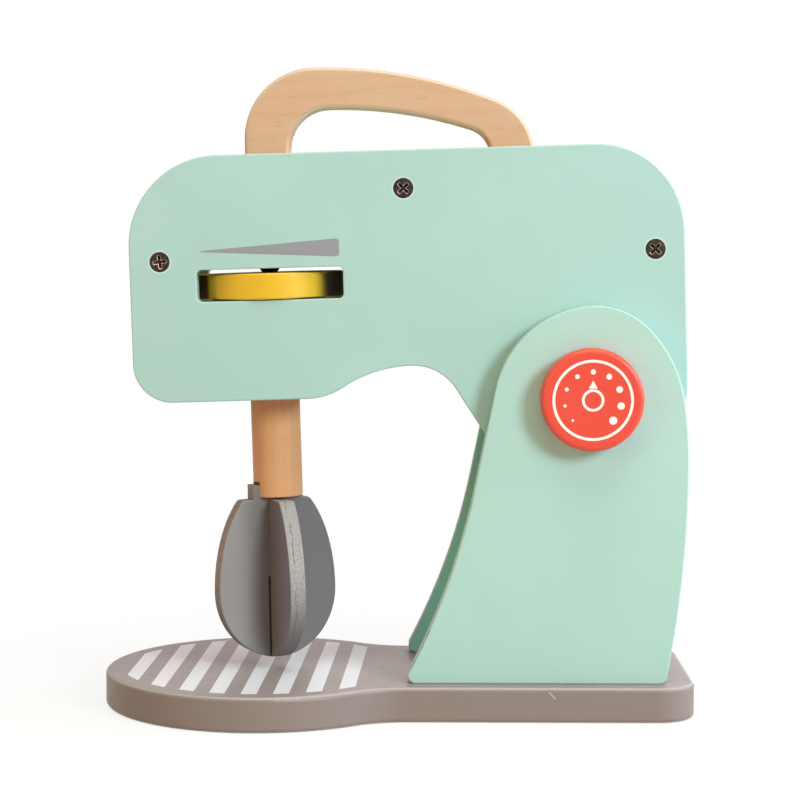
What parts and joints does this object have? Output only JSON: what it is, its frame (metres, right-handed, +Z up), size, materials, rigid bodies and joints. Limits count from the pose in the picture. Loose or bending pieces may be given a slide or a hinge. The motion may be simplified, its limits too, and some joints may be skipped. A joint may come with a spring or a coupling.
{
  "type": "toy stand mixer",
  "caption": "Wooden toy stand mixer with a tilting painted head, a beater turned by a thumb dial, pivot knobs, a carrying handle and a round-ended base.",
  "frame": {"origin": "middle of the overall length and width, on the underside of the base", "axes": "+X towards the column end, +Y away from the side seen in front view, +Z up"},
  "size_m": [0.237, 0.1292, 0.2569],
  "materials": {
    "base_grey": "satin grey paint",
    "mint_paint": "satin mint paint",
    "bare_beech": "bare beech",
    "screw_steel": "dark plated steel",
    "handle_maple": "clear satin lacquer",
    "dowel_beech": "bare turned dowel",
    "dial_yellow": "satin yellow paint",
    "blade_grey": "satin grey paint",
    "knob_red": "satin red paint"
  },
  "bodies": {
    "stand": {"base_board": "base_grey", "column_plate_front": "mint_paint", "column_plate_rear": "mint_paint", "stop_bar": "bare_beech", "base_screws": "screw_steel"},
    "head": {"head_plate_front": "mint_paint", "head_plate_rear": "mint_paint", "nose_block": "bare_beech", "tail_block": "bare_beech", "top_rail": "bare_beech", "handle": "handle_maple", "shaft_guide": "bare_beech", "pivot_boss": "bare_beech", "head_screws_front": "screw_steel", "head_screws_rear": "screw_steel"},
    "beater": {"beater_shaft": "dowel_beech", "dial_wheel": "dial_yellow", "dial_screw": "screw_steel", "beater_blade_tabbed": "blade_grey", "beater_blade_cross": "blade_grey"},
    "knobs": {"pivot_axle": "dowel_beech", "knob_front": "knob_red", "knob_rear": "knob_red"}
  },
  "joints": [
    {"name": "head_tilt", "type": "hinge", "parent": "stand", "child": "head", "pos_m": [0.07637, 0, 0.1267], "axis": [0, 1, 0], "range_deg": [0, 42]},
    {"name": "beater_spin", "type": "hinge", "parent": "head", "child": "beater", "pos_m": [-0.04985, 0, 0.14606], "axis": [-0.0297, 0, 0.9996], "continuous": true},
    {"name": "knob_turn", "type": "hinge", "parent": "stand", "child": "knobs", "pos_m": [0.07637, 0, 0.1267], "axis": [0, 1, 0], "continuous": true}
  ]
}
